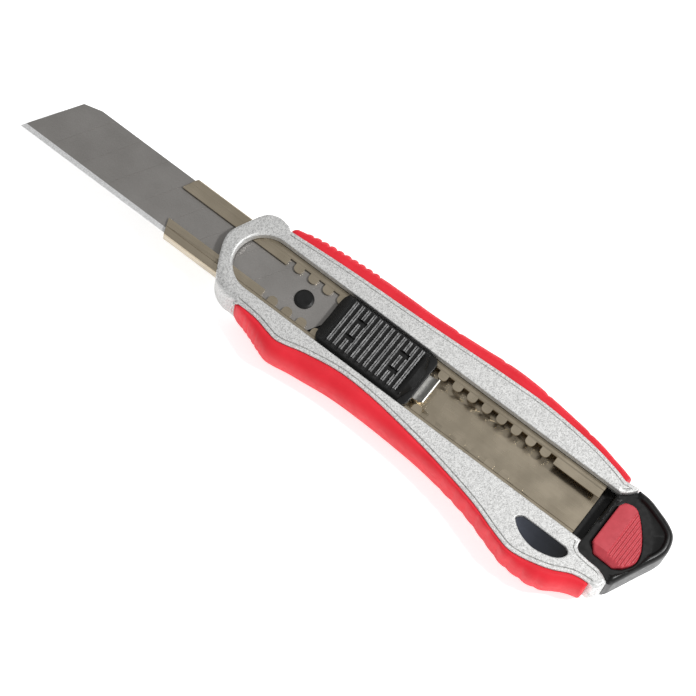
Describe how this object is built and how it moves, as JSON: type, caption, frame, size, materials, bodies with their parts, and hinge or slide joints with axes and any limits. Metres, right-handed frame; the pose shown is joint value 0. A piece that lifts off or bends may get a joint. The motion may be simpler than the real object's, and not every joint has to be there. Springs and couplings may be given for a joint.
{
  "type": "utility knife",
  "caption": "Snap-off utility knife with a die-cast body, soft grips, a self-locking thumb slider on a racked steel channel and a latched end cap over a spare blade store.",
  "frame": {"origin": "on the flat back face, under the channel's centre line, half way along the handle from the nose to the end of the cap", "axes": "blade points to -X, the spine side with the thumb rest is +Y, the slider and the open face look to +Z"},
  "size_m": [0.2192, 0.0479, 0.0155],
  "materials": {
    "silver_paint": "hammered metallic satin",
    "soft_red": "satin",
    "black_plastic": "satin",
    "red_plastic": "satin",
    "nickel_steel": "polished",
    "blade_steel": "satin",
    "spring_steel": "polished",
    "dark_gloss": "gloss"
  },
  "bodies": {
    "handle": {"front_housing": "silver_paint", "back_housing": "silver_paint", "inner_frame": "black_plastic", "upper_grip": "soft_red", "lower_grip": "soft_red", "side_window": "dark_gloss", "housing_screws": "spring_steel", "blade_channel": "nickel_steel", "channel_rivets": "nickel_steel", "blade_tray": "black_plastic", "spare_blade_1": "blade_steel", "spare_blade_2": "blade_steel", "spare_blade_3": "blade_steel"},
    "carriage": {"blade": "blade_steel", "blade_carrier": "black_plastic", "lock_spring": "spring_steel", "lock_rivet": "spring_steel"},
    "slider": {"thumb_slider": "black_plastic"},
    "cap": {"end_cap": "black_plastic", "latch_spring": "spring_steel"},
    "latch": {"latch_button": "red_plastic"}
  },
  "joints": [
    {"name": "blade_slide", "type": "slide", "parent": "handle", "child": "carriage", "axis": [-1, 0, 0], "range_m": [-0.051, 0.0255], "deforming": ["lock_spring"]},
    {"name": "thumb_press", "type": "slide", "parent": "carriage", "child": "slider", "axis": [0, 0, -1], "range_m": [0, 0.0006], "stiffness_N_per_m": 1500},
    {"name": "cap_pull", "type": "slide", "parent": "handle", "child": "cap", "axis": [1, 0, 0], "range_m": [0, 0.0125], "deforming": ["latch_spring"]},
    {"name": "latch_press", "type": "slide", "parent": "cap", "child": "latch", "axis": [0, 0, -1], "range_m": [0, 0.0012], "stiffness_N_per_m": 1000}
  ]
}
